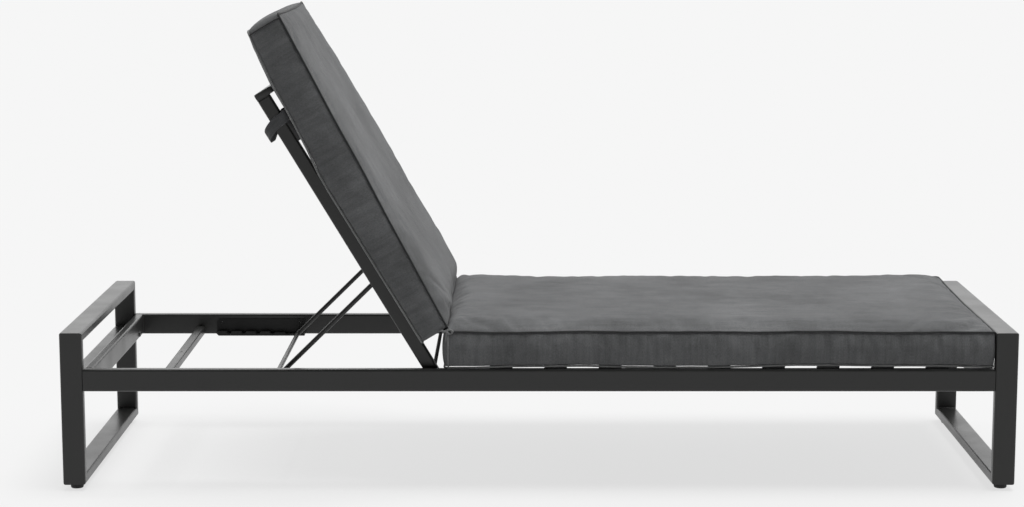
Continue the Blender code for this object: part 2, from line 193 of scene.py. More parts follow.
def grain_effect():
    """The fine pebbling and cloudy sheen of a sprayed or moulded surface."""
    tree, given, made = effect(
        "grain",
        (("Place", VECTOR, None), ("Colour", COLOUR, None), ("Scale", FLOAT, 900.0),
         ("Cloud", FLOAT, 0.1), ("Roughness", FLOAT, 0.4), ("Roughness Spread", FLOAT, 0.06)),
        (("Colour", COLOUR), ("Roughness", FLOAT), ("Height", FLOAT)))
    pebbles = noise_node(tree, given["Place"], given["Scale"], 2.0)
    cloud = noise_node(tree, given["Place"], 9.0, 4.0)
    speck = noise_node(tree, given["Place"], 2600.0, 1.0)
    dark = math_node(tree, "SUBTRACT", 1.0, given["Cloud"])
    light = math_node(tree, "ADD", 1.0, given["Cloud"])
    tone = spread_node(tree, math_node(tree, "ADD", math_node(tree, "MULTIPLY", cloud, 0.7),
                                       math_node(tree, "MULTIPLY", speck, 0.3)), dark, light)
    wire(tree, lit(tree, given["Colour"], tone), made["Colour"])
    smooth = math_node(tree, "SUBTRACT", given["Roughness"], given["Roughness Spread"])
    rough = math_node(tree, "ADD", given["Roughness"], given["Roughness Spread"])
    wire(tree, spread_node(tree, cloud, smooth, rough), made["Roughness"])
    wire(tree, pebbles, made["Height"])
    return tree


def weave_effect():
    """A plain weave on a map in metres, with brushed streaks, and smoky fading by place."""
    tree, given, made = effect(
        "weave",
        (("Cloth", VECTOR, None), ("Place", VECTOR, None), ("Colour", COLOUR, None),
         ("Threads", FLOAT, 620.0), ("Fading", FLOAT, 0.2), ("Streaks", FLOAT, 0.15)),
        (("Colour", COLOUR), ("Height", FLOAT)))
    split = tree.nodes.new("ShaderNodeSeparateXYZ")
    wire(tree, given["Cloth"], split.inputs[0])
    turn = math_node(tree, "MULTIPLY", given["Threads"], pi)
    waves = [math_node(tree, "SINE", math_node(tree, "MULTIPLY", split.outputs[i], turn)) for i in (0, 1)]
    over = math_node(tree, "GREATER_THAN", math_node(tree, "MULTIPLY", *waves), 0.0)
    humps = [math_node(tree, "ABSOLUTE", wave) for wave in waves]
    pick = tree.nodes.new("ShaderNodeMix")
    for slot, value in (("Factor", over), ("A", humps[0]), ("B", humps[1])):
        wire(tree, value, next(s for s in pick.inputs if s.name == slot and s.type == "VALUE"))
    thread = pick.outputs[0]
    smoke = noise_node(tree, given["Place"], 4.2, 5.0, 0.62)
    patch = noise_node(tree, given["Place"], 26.0, 4.0, 0.6)
    streak = noise_node(tree, stretched(tree, given["Cloth"], (95.0, 7.0, 1.0)), 1.0, 4.0, 0.65)
    fleck = noise_node(tree, stretched(tree, given["Cloth"], (620.0, 240.0, 1.0)), 1.0, 1.0)
    tones = []
    for value, strength, source in ((smoke, given["Fading"], (0.32, 0.68)), (patch, 0.07, (0.3, 0.7)),
                                    (streak, given["Streaks"], (0.3, 0.7)), (fleck, 0.17, (0.25, 0.75)),
                                    (thread, 0.10, (0.0, 1.0))):
        low = math_node(tree, "SUBTRACT", 1.0, strength)
        high = math_node(tree, "ADD", 1.0, strength)
        tones.append(spread_node(tree, value, low, high, source))
    tone = tones[0]
    for other in tones[1:]:
        tone = math_node(tree, "MULTIPLY", tone, other)
    wire(tree, lit(tree, given["Colour"], tone), made["Colour"])
    wire(tree, math_node(tree, "ADD", thread, math_node(tree, "MULTIPLY", fleck, 0.8)), made["Height"])
    return tree


GRAIN = grain_effect()
WEAVE = weave_effect()


def finish(name, group, colour, values, height, cloth=False, **constants):
    """A Principled material whose colour, roughness and bump come from one of the groups."""
    made = bpy.data.materials.new(name)
    made.use_nodes = True
    made.diffuse_color = (*colour, 1.0)
    tree = made.node_tree
    shader = tree.nodes["Principled BSDF"]
    for label, value in constants.items():
        shader.inputs[label.replace("_", " ")].default_value = value
    place = tree.nodes.new("ShaderNodeTexCoord")
    worn = tree.nodes.new("ShaderNodeGroup")
    worn.node_tree = group
    wire(tree, place.outputs["Object"], worn.inputs["Place"])
    if cloth:
        wire(tree, place.outputs["UV"], worn.inputs["Cloth"])
    worn.inputs["Colour"].default_value = (*colour, 1.0)
    for label, value in values.items():
        worn.inputs[label].default_value = value
    wire(tree, worn.outputs["Colour"], shader.inputs["Base Color"])
    if "Roughness" in worn.outputs:
        wire(tree, worn.outputs["Roughness"], shader.inputs["Roughness"])
    bump = tree.nodes.new("ShaderNodeBump")
    bump.inputs["Strength"].default_value = 1.0
    bump.inputs["Distance"].default_value = height
    wire(tree, worn.outputs["Height"], bump.inputs["Height"])
    wire(tree, bump.outputs["Normal"], shader.inputs["Normal"])
    return made


POWDER_COAT = finish("powder_coat", GRAIN, (0.0200, 0.0202, 0.0196),
                     {"Scale": 950.0, "Cloud": 0.10, "Roughness": 0.33, "Roughness Spread": 0.04}, 0.00005,
                     IOR=1.43)
# The racks' paint is darker than the frame's as painted shade: it stands in for the shade in their channel.
RACK_PAINTED_SHADE = finish("black_coating", GRAIN, (0.008, 0.008, 0.008),
                      {"Scale": 800.0, "Cloud": 0.10, "Roughness": 0.45, "Roughness Spread": 0.05}, 0.00006,
                      IOR=1.35)
# The axle's near-black, matt paint is painted shade: it stands in for the deep shade the axle lies in under
# the pads.
AXLE_PAINTED_SHADE = finish("matt_black_coating", GRAIN, (0.005, 0.005, 0.005),
                      {"Scale": 800.0, "Cloud": 0.10, "Roughness": 0.75, "Roughness Spread": 0.05}, 0.00006,
                      IOR=1.25)
RUBBER = finish("foot_rubber", GRAIN, (0.012, 0.012, 0.012),
                {"Scale": 500.0, "Cloud": 0.2, "Roughness": 0.7, "Roughness Spread": 0.1}, 0.00012)
NYLON = finish("black_nylon", GRAIN, (0.015, 0.015, 0.016),
               {"Scale": 700.0, "Cloud": 0.12, "Roughness": 0.5, "Roughness Spread": 0.08}, 0.00006)
CANVAS = finish("charcoal_canvas", WEAVE, (0.1035, 0.1055, 0.1075),
                {"Threads": 640.0, "Fading": 0.24, "Streaks": 0.16}, 0.00030, cloth=True, Roughness=0.92,
                Sheen_Weight=0.10, Sheen_Roughness=0.5, Specular_IOR_Level=0.2)
# Upper piping and back pad end seams: partly the piping's own darker cloth, partly painted shade of the
# groove beside the seam.
DARK_PIPING_AND_SHADE_CLOTH = finish("dark_piping_and_painted_shade_canvas", GRAIN, (0.017, 0.0175, 0.018),
                      {"Scale": 1100.0, "Cloud": 0.25, "Roughness": 0.9, "Roughness Spread": 0.05}, 0.0003,
                      Sheen_Weight=0.1)
# Lower piping, seat pad end seams and corner knots: a lighter copy of the canvas, a painted highlight where
# the low seam catches the light.
PAINTED_LIGHT_HEM_CLOTH = finish("piping_canvas_painted_light", GRAIN, (0.140, 0.142, 0.142),
                   {"Scale": 1100.0, "Cloud": 0.25, "Roughness": 0.9, "Roughness Spread": 0.05}, 0.0003,
                   Sheen_Weight=0.2)
WEBBING = finish("grey_webbing", WEAVE, (0.075, 0.077, 0.080),
                 {"Threads": 900.0, "Fading": 0.12, "Streaks": 0.2}, 0.0004, cloth=True, Roughness=0.85,
                 Sheen_Weight=0.3, Specular_IOR_Level=0.25)
SLOT_FINISH = {"frame_paint": POWDER_COAT, "rack_coating": RACK_PAINTED_SHADE, "foot_rubber": RUBBER,
               "nylon": NYLON, "cushion_fabric": CANVAS, "strap_webbing": WEBBING}
NODE_FINISH = {"pivot_axle": AXLE_PAINTED_SHADE}


def finish_cad_nodes():
    for name, slot in SLOTS.items():
        node = frame["nodes"][name]
        node.data.materials.clear()
        node.data.materials.append(NODE_FINISH.get(name, SLOT_FINISH[slot]))


# ---------------------------------------------------------------- pieces that repeat

def new_object(name, mesh, paint=None, smooth=True):
    if paint:
        mesh.materials.clear()
        mesh.materials.append(paint)
    if smooth:
        mesh.shade_smooth()
    made = bpy.data.objects.new(name, mesh)
    bpy.context.collection.objects.link(made)
    return made


def tree_with(name, inputs):
    """An empty Geometry Nodes tree with a geometry in and out, and named inputs."""
    tree = bpy.data.node_groups.new(name, "GeometryNodeTree")
    tree.interface.new_socket("Geometry", in_out="INPUT", socket_type="NodeSocketGeometry")
    for label, kind in inputs:
        tree.interface.new_socket(label, in_out="INPUT", socket_type=kind)
    tree.interface.new_socket("Geometry", in_out="OUTPUT", socket_type="NodeSocketGeometry")
    return tree, tree.nodes.new("NodeGroupInput").outputs, tree.nodes.new("NodeGroupOutput").inputs


def finish_tree(tree, shape, paint_socket, made):
    real = tree.nodes.new("GeometryNodeRealizeInstances")
    painted = tree.nodes.new("GeometryNodeSetMaterial")
    smooth = tree.nodes.new("GeometryNodeSetShadeSmooth")
    wire(tree, shape, real.inputs[0])
    wire(tree, real.outputs[0], painted.inputs["Geometry"])
    wire(tree, paint_socket, painted.inputs["Material"])
    wire(tree, painted.outputs[0], smooth.inputs["Geometry"])
    wire(tree, smooth.outputs[0], made["Geometry"])


def beading_tree():
    """A round bead along each line, swelling and thinning at every step, as welds and piping do."""
    tree, given, made = tree_with("beading", (("Radius", FLOAT), ("Step", FLOAT), ("Ripple", FLOAT),
                                              ("Sides", "NodeSocketInt"), ("Finish", "NodeSocketMaterial")))
    curve = tree.nodes.new("GeometryNodeMeshToCurve")
    even = tree.nodes.new("GeometryNodeResampleCurve")
    even.mode = "LENGTH"
    sized = tree.nodes.new("GeometryNodeSetCurveRadius")
    ring = tree.nodes.new("GeometryNodeCurvePrimitiveCircle")
    swept = tree.nodes.new("GeometryNodeCurveToMesh")
    index = tree.nodes.new("GeometryNodeInputIndex")
    odd = math_node(tree, "MODULO", index.outputs[0], 2.0)
    wire(tree, given["Geometry"], curve.inputs["Mesh"])
    wire(tree, curve.outputs[0], even.inputs["Curve"])
    wire(tree, given["Step"], even.inputs["Length"])
    wire(tree, even.outputs[0], sized.inputs["Curve"])
    swell = math_node(tree, "SUBTRACT", 1.0, math_node(tree, "MULTIPLY", odd, given["Ripple"]))
    wire(tree, math_node(tree, "MULTIPLY", swell, given["Radius"]), sized.inputs["Radius"])
    wire(tree, given["Sides"], ring.inputs["Resolution"])
    ring.inputs["Radius"].default_value = 1.0
    wire(tree, sized.outputs[0], swept.inputs["Curve"])
    wire(tree, ring.outputs["Curve"], swept.inputs["Profile Curve"])
    if "Scale" in swept.inputs:
        wire(tree, math_node(tree, "MULTIPLY", swell, given["Radius"]), swept.inputs["Scale"])
    swept.inputs["Fill Caps"].default_value = True
    finish_tree(tree, swept.outputs[0], given["Finish"], made)
    return tree


def planting_tree():
    """A copy of a part on each point, its Z axis turned to the point's facing and X to its heading."""
    tree, given, made = tree_with("planting", (("Part", "NodeSocketObject"),
                                               ("Finish", "NodeSocketMaterial")))
    part = tree.nodes.new("GeometryNodeObjectInfo")
    plant = tree.nodes.new("GeometryNodeInstanceOnPoints")
    wire(tree, given["Part"], part.inputs["Object"])
    wire(tree, given["Geometry"], plant.inputs["Points"])
    wire(tree, part.outputs["Geometry"], plant.inputs["Instance"])
    turned = None
    for label, axis in (("facing", "Z"), ("heading", "X")):
        way = tree.nodes.new("GeometryNodeInputNamedAttribute")
        way.data_type = "FLOAT_VECTOR"
        way.inputs["Name"].default_value = label
        turn = tree.nodes.new("FunctionNodeAlignRotationToVector")
        turn.axis = axis
        turn.pivot_axis = "AUTO" if turned is None else "Z"
        wire(tree, way.outputs["Attribute"], turn.inputs["Vector"])
        if turned is not None:
            wire(tree, turned, turn.inputs["Rotation"])
        turned = turn.outputs[0]
    wire(tree, turned, plant.inputs["Rotation"])
    finish_tree(tree, plant.outputs[0], given["Finish"], made)
    return tree


BEADING = beading_tree()
PLANTING = planting_tree()


def grown(name, mesh, tree, values):
    """Run a tree over a mesh of lines or points and keep the result as a plain mesh."""
    seed = bpy.data.objects.new(name + "_lines", mesh)
    bpy.context.collection.objects.link(seed)
    change = seed.modifiers.new("grow", "NODES")
    change.node_group = tree
    for item in tree.interface.items_tree:
        if item.in_out == "INPUT" and item.name in values:
            change[item.identifier] = values[item.name]
    bpy.context.view_layer.update()
    graph = bpy.context.evaluated_depsgraph_get()
    result = bpy.data.meshes.new_from_object(seed.evaluated_get(graph), depsgraph=graph)
    bpy.data.objects.remove(seed)
    result.name = name
    return new_object(name, result, smooth=False)


def beads(name, lines, body, paint, radius, step, ripple=0.0, sides=8):
    """Beads along lines of points. A line that ends where it starts is closed."""
    mesh = bpy.data.meshes.new(name)
    points, edges = [], []
    for line in lines:
        closed = (line[0] - line[-1]).length < 1e-6
        kept = line[:-1] if closed else line
        first = len(points)
        points.extend(kept)
        edges += [(first + i, first + i + 1) for i in range(len(kept) - 1)]
        if closed:
            edges.append((first + len(kept) - 1, first))
    mesh.from_pydata(points, edges, [])
    made = grown(name, mesh, BEADING, {"Radius": radius, "Step": step, "Ripple": ripple, "Sides": sides,
                                       "Finish": paint})
    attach(made, body)
    return made


def planted(name, part, places, body, paint):
    """Copies of a part at (point, facing, heading) places."""
    mesh = bpy.data.meshes.new(name)
    mesh.from_pydata([place[0] for place in places], [], [])
    for number, label in ((1, "facing"), (2, "heading")):
        way = mesh.attributes.new(label, "FLOAT_VECTOR", "POINT")
        way.data.foreach_set("vector", [value for place in places for value in place[number]])
    made = grown(name, mesh, PLANTING, {"Part": part, "Finish": paint})
    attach(made, body)
    return made


def turned_part(name, profile, segments=20):
    """A turned shape about Z from (radius, height) points, closed on the axis at both ends."""
    bm = bmesh.new()
    rings = [[bm.verts.new((r * cos(2 * pi * i / segments), r * sin(2 * pi * i / segments), z))
              for i in range(segments)] for r, z in profile]
    for one, other in zip(rings, rings[1:]):
        for i in range(segments):
            j = (i + 1) % segments
            bm.faces.new((one[i], one[j], other[j], other[i]))
    bm.faces.new(rings[0][::-1])
    bm.faces.new(rings[-1])
    bmesh.ops.recalc_face_normals(bm, faces=bm.faces)
    mesh = bpy.data.meshes.new(name)
    bm.to_mesh(mesh)
    bm.free()
    return new_object(name, mesh)


def block_part(name, size, radius):
    """A box with rounded edges, standing on the plane z = 0."""
    bm = bmesh.new()
    bmesh.ops.create_cube(bm, size=1.0)
    grow = Matrix.Translation((0, 0, size[2] / 2)) @ Matrix.Diagonal((*size, 1.0))
    bmesh.ops.transform(bm, matrix=grow, verts=bm.verts)
    bmesh.ops.bevel(bm, geom=bm.edges[:], offset=radius, segments=2, affect="EDGES", profile=0.6)
    mesh = bpy.data.meshes.new(name)
    bm.to_mesh(mesh)
    bm.free()
    return new_object(name, mesh)


# ---------------------------------------------------------------- welds, plugs and screws

def on_back(along, y, out):
    """A point beside the raised backrest."""
    return PIVOT + UP_BACK * along + OFF_BACK * out + Vector((0, y, 0))


def frame_weld_lines():
    lines = []
    for end, way in ENDS:
        low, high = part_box(f"{end}_mid_bar")
        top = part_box(f"{end}_top_bar")[0].z
        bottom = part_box(f"{end}_bottom_bar")[1].z
        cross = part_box(f"{end}_cross_rail")
        inner_face = cross[1].x if way < 0 else cross[0].x
        for side, sign in SIDES:
            y = sign * (RAIL_INNER - 0.0004)
            for z in (high.z, low.z, top, bottom):
                lines.append([Vector((low.x + WELD_STOP, y, z)), Vector((high.x - WELD_STOP, y, z))])
            lines.append([Vector((inner_face, y, cross[0].z + WELD_STOP)),
                          Vector((inner_face, y, cross[1].z - WELD_STOP))])
    for side, sign in SIDES:
        y = sign * RAIL_INNER
        low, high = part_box("rest_tube")
        for x in (low.x, high.x):
            lines.append([Vector((x, y, low.z + WELD_STOP)), Vector((x, y, high.z - WELD_STOP))])
        for number in range(1, 10):
            low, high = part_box(f"seat_slat_{number}")
            for x in (low.x + 0.001, high.x - 0.001):
                lines.append([Vector((x, sign * (RAIL_INNER + 0.001), RAIL_TOP)),
                              Vector((x, sign * (high.y - 0.001), RAIL_TOP))])
    return lines


def backrest_weld_lines():
    lines = []
    tube_in, tube_out = (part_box("backrest_tube_left")[i].y for i in (0, 1))
    for number in range(1, 6):
        low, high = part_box(f"backrest_slat_{number}")
        middle = ((low + high) / 2 - PIVOT).dot(UP_BACK)
        for side, sign in SIDES:
            for edge in (-HALF_SLAT, HALF_SLAT):
                lines.append([on_back(middle + edge, sign * (tube_in + 0.001), BACK_TUBE_FACE),
                              on_back(middle + edge, sign * (tube_out - 0.003), BACK_TUBE_FACE)])
    face = BACK_TUBE_FACE - 0.0008
    for side, sign in SIDES:
        around = ((tube_in, face), (tube_out - 0.0006, face), (tube_out - 0.0006, -face), (tube_in, -face))
        lines.append([on_back(TOP_BAR_JOINT, sign * y, out) for y, out in around])
    return lines


def prop_weld_lines():
    """A ring where each arm meets the crossbar, and round each eye's neck."""
    low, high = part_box("prop_crossbar")
    bar = Vector(((low.x + high.x) / 2, 0, (low.z + high.z) / 2))
    hinge = Vector(JOINTS["prop_fold"]["pos_m"])
    along = (hinge - bar).normalized()
    lines = []
    for side, sign in SIDES:
        middle = sum(value.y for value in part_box(f"prop_arm_{side}")) / 2
        for start, size in ((bar + along * 0.0042, 0.0056), (hinge - along * 0.0082, 0.0052)):
            ring = [start + ACROSS * middle + ACROSS * size * cos(turn * pi / 8)
                    + along.cross(ACROSS) * size * sin(turn * pi / 8) for turn in range(16)]
            lines.append(ring + ring[:1])
    return lines


def slat_plug_places(prefix, count, along):
    """Both ends of every slat, facing along its length."""
    places = []
    for number in range(1, count + 1):
        low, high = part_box(f"{prefix}_{number}")
        middle = (low + high) / 2
        for way in (-1, 1):
            end = Vector((middle.x, way * (high.y - 0.0012), middle.z))
            places.append((end, ACROSS * way, along))
    return places


def frame_details():
    beads("frame_welds", frame_weld_lines(), "frame", POWDER_COAT, WELD, 0.0014, 0.18)
    beads("backrest_welds", backrest_weld_lines(), "backrest", POWDER_COAT, WELD * 0.8,
          0.0014, 0.18)
    beads("prop_welds", prop_weld_lines(), "prop", POWDER_COAT, 0.0011, 0.0012, 0.15, 6)
    plug = block_part("slat_plug", (0.0440, 0.0070, 0.0014), 0.0005)
    planted("seat_slat_plugs", plug, slat_plug_places("seat_slat", 9, Vector((1, 0, 0))), "frame",
            NYLON)
    planted("backrest_slat_plugs", plug, slat_plug_places("backrest_slat", 5, UP_BACK), "backrest",
            NYLON)
    bpy.data.objects.remove(plug)
    cap = block_part("bar_plug", (0.0372, 0.0132, 0.0016), 0.0006)
    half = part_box("backrest_top_bar")[1].y
    along, out = TOP_BAR_MIDDLE
    ends = [(on_back(along, way * (half - 0.0011), out), ACROSS * way, OFF_BACK) for way in (-1, 1)]
    planted("top_bar_plugs", cap, ends, "backrest", POWDER_COAT)
    bpy.data.objects.remove(cap)
    head = turned_part("pan_head", ((0.0034, 0.0), (0.0036, 0.0006), (0.0033, 0.0013), (0.0025, 0.0018),
                                    (0.0016, 0.0019), (0.0014, 0.0009)))
    places = []
    for side, sign in SIDES:
        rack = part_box(f"notch_rack_{side}")
        face = sign * (RAIL_INNER - 0.0030)
        for x in (rack[0].x + 0.012, rack[1].x - 0.013):
            places.append((Vector((x, face, rack[1].z - 0.0085)), ACROSS * -sign, Vector((1, 0, 0))))
    planted("rack_screws", head, places, "frame", POWDER_COAT)
    bpy.data.objects.remove(head)


# ---------------------------------------------------------------- stuffed pads

def drawn_in(x, y, length):
    """The nearest point of a pad's plan drawn in by its corner radius."""
    return min(max(x, CORNER), length - CORNER), min(max(y, CORNER - PAD_HALF), PAD_HALF - CORNER)


def rounded_plan(x, y, length):
    """Move a point near a square corner of the plan onto the rounded corner."""
    core_x, core_y = drawn_in(x, y, length)
    dx, dy = x - core_x, y - core_y
    if dx and dy:
        pull = max(abs(dx), abs(dy)) / hypot(dx, dy)
        dx, dy = dx * pull, dy * pull
    return core_x + dx, core_y + dy


def outward(x, y, length):
    """The way out of a pad's side band at a point of its plan, and nothing inside the band."""
    way = Vector((x, y)) - Vector(drawn_in(x, y, length))
    return way.normalized() if way.length > 1e-6 else Vector((0, 0))


def at(table, along):
    """The value at a length in a table of (length, value) pairs."""
    return float(np.interp(along, *zip(*table)))


def wander(point, size, seed):
    """A slow random offset from -1 to 1."""
    return noise.noise(Vector((point[0] / size, point[1] / size, seed)))


def pad_mesh(name, length, thickness, resting, place, corner_column):
    """A closed box of quads with a map in metres. place(x, y, level, edge) gives each point: level
    is 0 on the under panel, 1 on the upper one, and between them on the side band. Its upright
    corner seams are on corner_column. The under panel, as far as it is resting on slats, and the
    side band's two ends, which are close to other parts, are the points to be held."""
    columns, rows = round(length / CELL), round(2 * PAD_HALF / CELL)
    bands = max(4, round(thickness / CELL))
    bm = bmesh.new()
    cloth = bm.loops.layers.uv.new("cloth")
    grids = {}

    def panel(level):
        for i in range(columns + 1):
            for j in range(rows + 1):
                x, y = length * i / columns, PAD_HALF * (2 * j / rows - 1)
                edge = min(x, length - x, PAD_HALF - abs(y))
                grids[level, i, j] = bm.verts.new(place(*rounded_plan(x, y, length), level, edge))

    def cell(corners, spots):
        face = bm.faces.new(corners)
        for loop, spot in zip(face.loops, spots):
            loop[cloth].uv = spot

    for level in (0, 1):
        panel(level)
        for i in range(columns):
            for j in range(rows):
                keys = [(i, j), (i + 1, j), (i + 1, j + 1), (i, j + 1)]
                spots = [(2 * PAD_HALF * b / rows + 2 * level, length * a / columns) for a, b in keys]
                cell([grids[(level, *key)] for key in keys], spots)
    rim = ([(i, 0) for i in range(columns)] + [(columns, j) for j in range(rows)]
           + [(i, rows) for i in range(columns, 0, -1)] + [(0, j) for j in range(rows, 0, -1)])
    rings = [[grids[(0, *key)] for key in rim]]
    for band in range(1, bands):
        ring = []
        for i, j in rim:
            x, y = rounded_plan(length * i / columns, PAD_HALF * (2 * j / rows - 1), length)
            ring.append(bm.verts.new(place(x, y, band / bands, 0.0)))
        rings.append(ring)
    rings.append([grids[(1, *key)] for key in rim])
    for band in range(bands):
        for k in range(len(rim)):
            other = (k + 1) % len(rim)
            corners = (rings[band][k], rings[band][other], rings[band + 1][other], rings[band + 1][k])
            spots = [(10 + CELL * (k + a), thickness * (band + b) / bands)
                     for a, b in ((0, 0), (1, 0), (1, 1), (0, 1))]
            cell(corners, spots)
    bmesh.ops.recalc_face_normals(bm, faces=bm.faces)
    bm.verts.index_update()
    seams = [[vert.index for vert in rings[0]], [vert.index for vert in rings[-1]]]
    under = [grids[0, i, j].index for i in range(columns + 1) for j in range(rows + 1)
             if length * i / columns < resting]
    held = under + [ring[k].index for ring in rings for k in range(len(rim)) if rim[k][0] in (0, columns)]
    upright = [[ring[k].index for ring in rings] for k in range(len(rim))
               if rim[k] in ((corner_column % columns, 0), (corner_column % columns, rows))]
    mesh = bpy.data.meshes.new(name)
    bm.to_mesh(mesh)
    bm.free()
    return new_object(name, mesh, CANVAS), seams, held, upright


def stuff(pad, seams, held, cap):
    """Swell a pad with the cloth solver, nowhere further than the cap. Its seams and the held points
    stay where they are."""
    group = pad.vertex_groups.new(name="held")
    group.add(sorted({index for ring in seams for index in ring} | set(held)), 1.0, "REPLACE")
    change = pad.modifiers.new("stuffing", "CLOTH")
    cloth = change.settings
    cloth.quality = 6
    cloth.mass = 0.25
    cloth.tension_stiffness = 18.0
    cloth.compression_stiffness = 18.0
    cloth.shear_stiffness = 6.0
    cloth.bending_stiffness = 0.25
    cloth.use_pressure = True
    cloth.uniform_pressure_force = 4.0
    cloth.shrink_min = cloth.shrink_max = -LOOSENESS
    cloth.vertex_group_mass = "held"
    cloth.effector_weights.gravity = 0.0
    change.collision_settings.use_collision = False
    change.point_cache.frame_start = 1
    change.point_cache.frame_end = SWELLING_FRAMES
    start = np.empty(len(pad.data.vertices) * 3)
    pad.data.vertices.foreach_get("co", start)
    scene = bpy.context.scene
    for step in range(1, SWELLING_FRAMES + 1):
        scene.frame_set(step)
    swollen = np.empty_like(start)
    pad.evaluated_get(bpy.context.evaluated_depsgraph_get()).data.vertices.foreach_get("co", swollen)
    scene.frame_set(1)
    pad.modifiers.remove(change)
    pad.vertex_groups.clear()
    moved = (swollen - start).reshape(-1, 3)
    far = np.linalg.norm(moved, axis=1, keepdims=True)
    moved *= cap * np.tanh(far / cap) / np.maximum(far, 1e-9)
    pad.data.vertices.foreach_set("co", (start.reshape(-1, 3) + moved).ravel())
    pad.data.update()


def finish_pad(pad, body, node, seams, upright, pipes, corner_paint):
    """Piping on the seams, one subdivision, the pad hung on its body, and the CAD cushion it replaces
    hidden.
    """
    points = [vert.co.copy() for vert in pad.data.vertices]
    # The lower piping takes the lighter cloth, a painted highlight. The upper piping takes the dark cloth,
    # partly painted shade.
    for ring, label, paint in zip(seams, ("lower", "upper"), (PAINTED_LIGHT_HEM_CLOTH, DARK_PIPING_AND_SHADE_CLOTH)):
        line = [points[index] for index in ring + ring[:1]]
        beads(f"{pipes}_{label}_piping", [line], body, paint, PIPING, 0.005, 0.05)
    beads(f"{pipes}_end_seams", [[points[index] for index in line] for line in upright], body,
          corner_paint, PIPING * 0.8, 0.004, 0.05, 6)
    finer = pad.modifiers.new("finer", "SUBSURF")
    finer.levels = finer.render_levels = 1
    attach(pad, body)
    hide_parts(node)


def softly(edge, width):
    """From 0 on a seam to 1 further in than the width."""
    share = min(max(edge / width, 0.0), 1.0)
    return sin(share * pi / 2)


def puckers(x, y, level, seed):
    """Short upright gathers in a side band."""
    slant = 0.012 * level
    fine = wander((x + slant, y + slant), 0.021, seed)
    broad = wander((x - slant, y), 0.055, seed + 1)
    return 0.0022 * fine + 0.0016 * broad


def creases(x, y, edge, seed):
    """Small gathers on a panel, strongest beside its seams."""
    strength = softly(edge, 0.012) * (1 - 0.75 * softly(edge, 0.14))
    fine = wander((x, y), 0.034, seed)
    broad = wander((x + y, x - y), 0.07, seed + 1)
    return strength * (0.0016 * fine + 0.0012 * broad)


def seat_pad():
    """The seat pad, whose hem sags between the slats and whose upper panel is steep at the head end."""
    low, high = SEAT_SEAMS

    def place(x, y, level, edge):
        wave = 0.0018 * wander((x, y), 0.14, 3.0) + 0.0006 * wander((x, y), 0.035, 4.0)
        round_side = sin(pi * level)
        if x <= 0:
            out = HEAD_BULGE * round_side ** 0.6
        elif x >= SEAT_LENGTH:
            out = FOOT_BULGE * round_side ** 0.6
        else:
            out = (SIDE_BULGE + puckers(x, y, level, 50.0) * (0.6 + x / SEAT_LENGTH)) * round_side
        far_foot = max(0.0, 1 - (SEAT_LENGTH - x) / FAR_FOOT_REACH) * max(0.0, y / PAD_HALF)
        z = low + (high - low) * level + FAR_FOOT_LIFT * level * far_foot
        if level == 1:
            crown = SEAT_CROWN + HEAD_LIFT * max(0.0, 1 - x / HEAD_REACH)
            inset = min(edge if x > 0.1 else 1.9 * x, PAD_HALF - abs(y))
            z += crown * softly(inset, PANEL_RISE) + wave + creases(x, y, edge, 9.0)
            z += BILLOW * wander((x, y), 0.17, 8.0) * softly(edge, 0.12)
        elif level == 0:
            shelf = softly(edge, UNDER_RISE)
            z += (SEAT_SHELF - low) * shelf + (wave * 0.5 + at(SEAT_HEM, x)) * (1 - shelf)
        else:
            z += wave
        spot = Vector((SEAT_START - 0.001 + x, y + wave, DECK + z))
        return spot + outward(x, y, SEAT_LENGTH).to_3d() * out

    pad, seams, held, upright = pad_mesh("seat_pad", SEAT_LENGTH, high - low, SEAT_LENGTH + CELL, place, 1)
    stuff(pad, seams, held, 0.011)
    finish_pad(pad, "frame", "seat_cushion", seams, upright, "seat", PAINTED_LIGHT_HEM_CLOTH)


def back_pad():
    """The back pad, which lies on the slats and curls away from them above the top bar."""
    length = BACK_END - BACK_START

    def place(x, y, level, edge):
        along = BACK_START + x
        far = max(0.0, y / PAD_HALF)
        twist = BACK_TWIST * far * softly(max(0.0, along - 0.40), 0.45) ** 2
        twist *= level + (1 - level) * softly(max(0.0, along - 0.715), 0.08)
        wave = 0.0018 * wander((x, y), 0.15, 21.0)
        end_share = max(0.0, x / length - 0.9) * 10
        middle_share = 1 - (y / PAD_HALF) ** 4
        if x <= 0:
            out = LOW_END_BULGE
        elif x >= length:
            out = TOP_END_BULGE[0] + TOP_END_BULGE[1] * middle_share
        else:
            out = BACK_BULGE + puckers(x, y, level, 70.0)
        bulge = Vector((0, 0))
        if 0 < level < 1:
            bulge = outward(x, y, length) * out * sin(pi * level) ** (0.7 - 0.35 * end_share)
        hem = at(BACK_HEM, along)
        lift = hem + (at(BACK_FRONT, along) - hem) * level
        if level == 1:
            lift += at(BACK_CROWN, along) * softly(edge, PANEL_RISE) + wave + creases(x, y, edge, 31.0)
            lift += BILLOW * wander((x, y), 0.18, 30.0) * softly(edge, 0.12)
        elif level == 0:
            lift += (at(BACK_UNDER, along) - hem) * softly(edge, UNDER_RISE)
        bow = 0.004 * end_share * (far - middle_share * level)
        bow -= 0.0015 * (1 - level) * max(0.0, 1 - x / 0.05)
        return on_back(along + bulge.x + bow, y + bulge.y + wave * level, lift + twist)

    pad, seams, held, upright = pad_mesh("back_pad", length, BACK_BAND, BACK_RESTS, place, -1)
    stuff(pad, seams, held, 0.010)
    finish_pad(pad, "back_pad", "back_cushion", seams, upright, "back", DARK_PIPING_AND_SHADE_CLOTH)


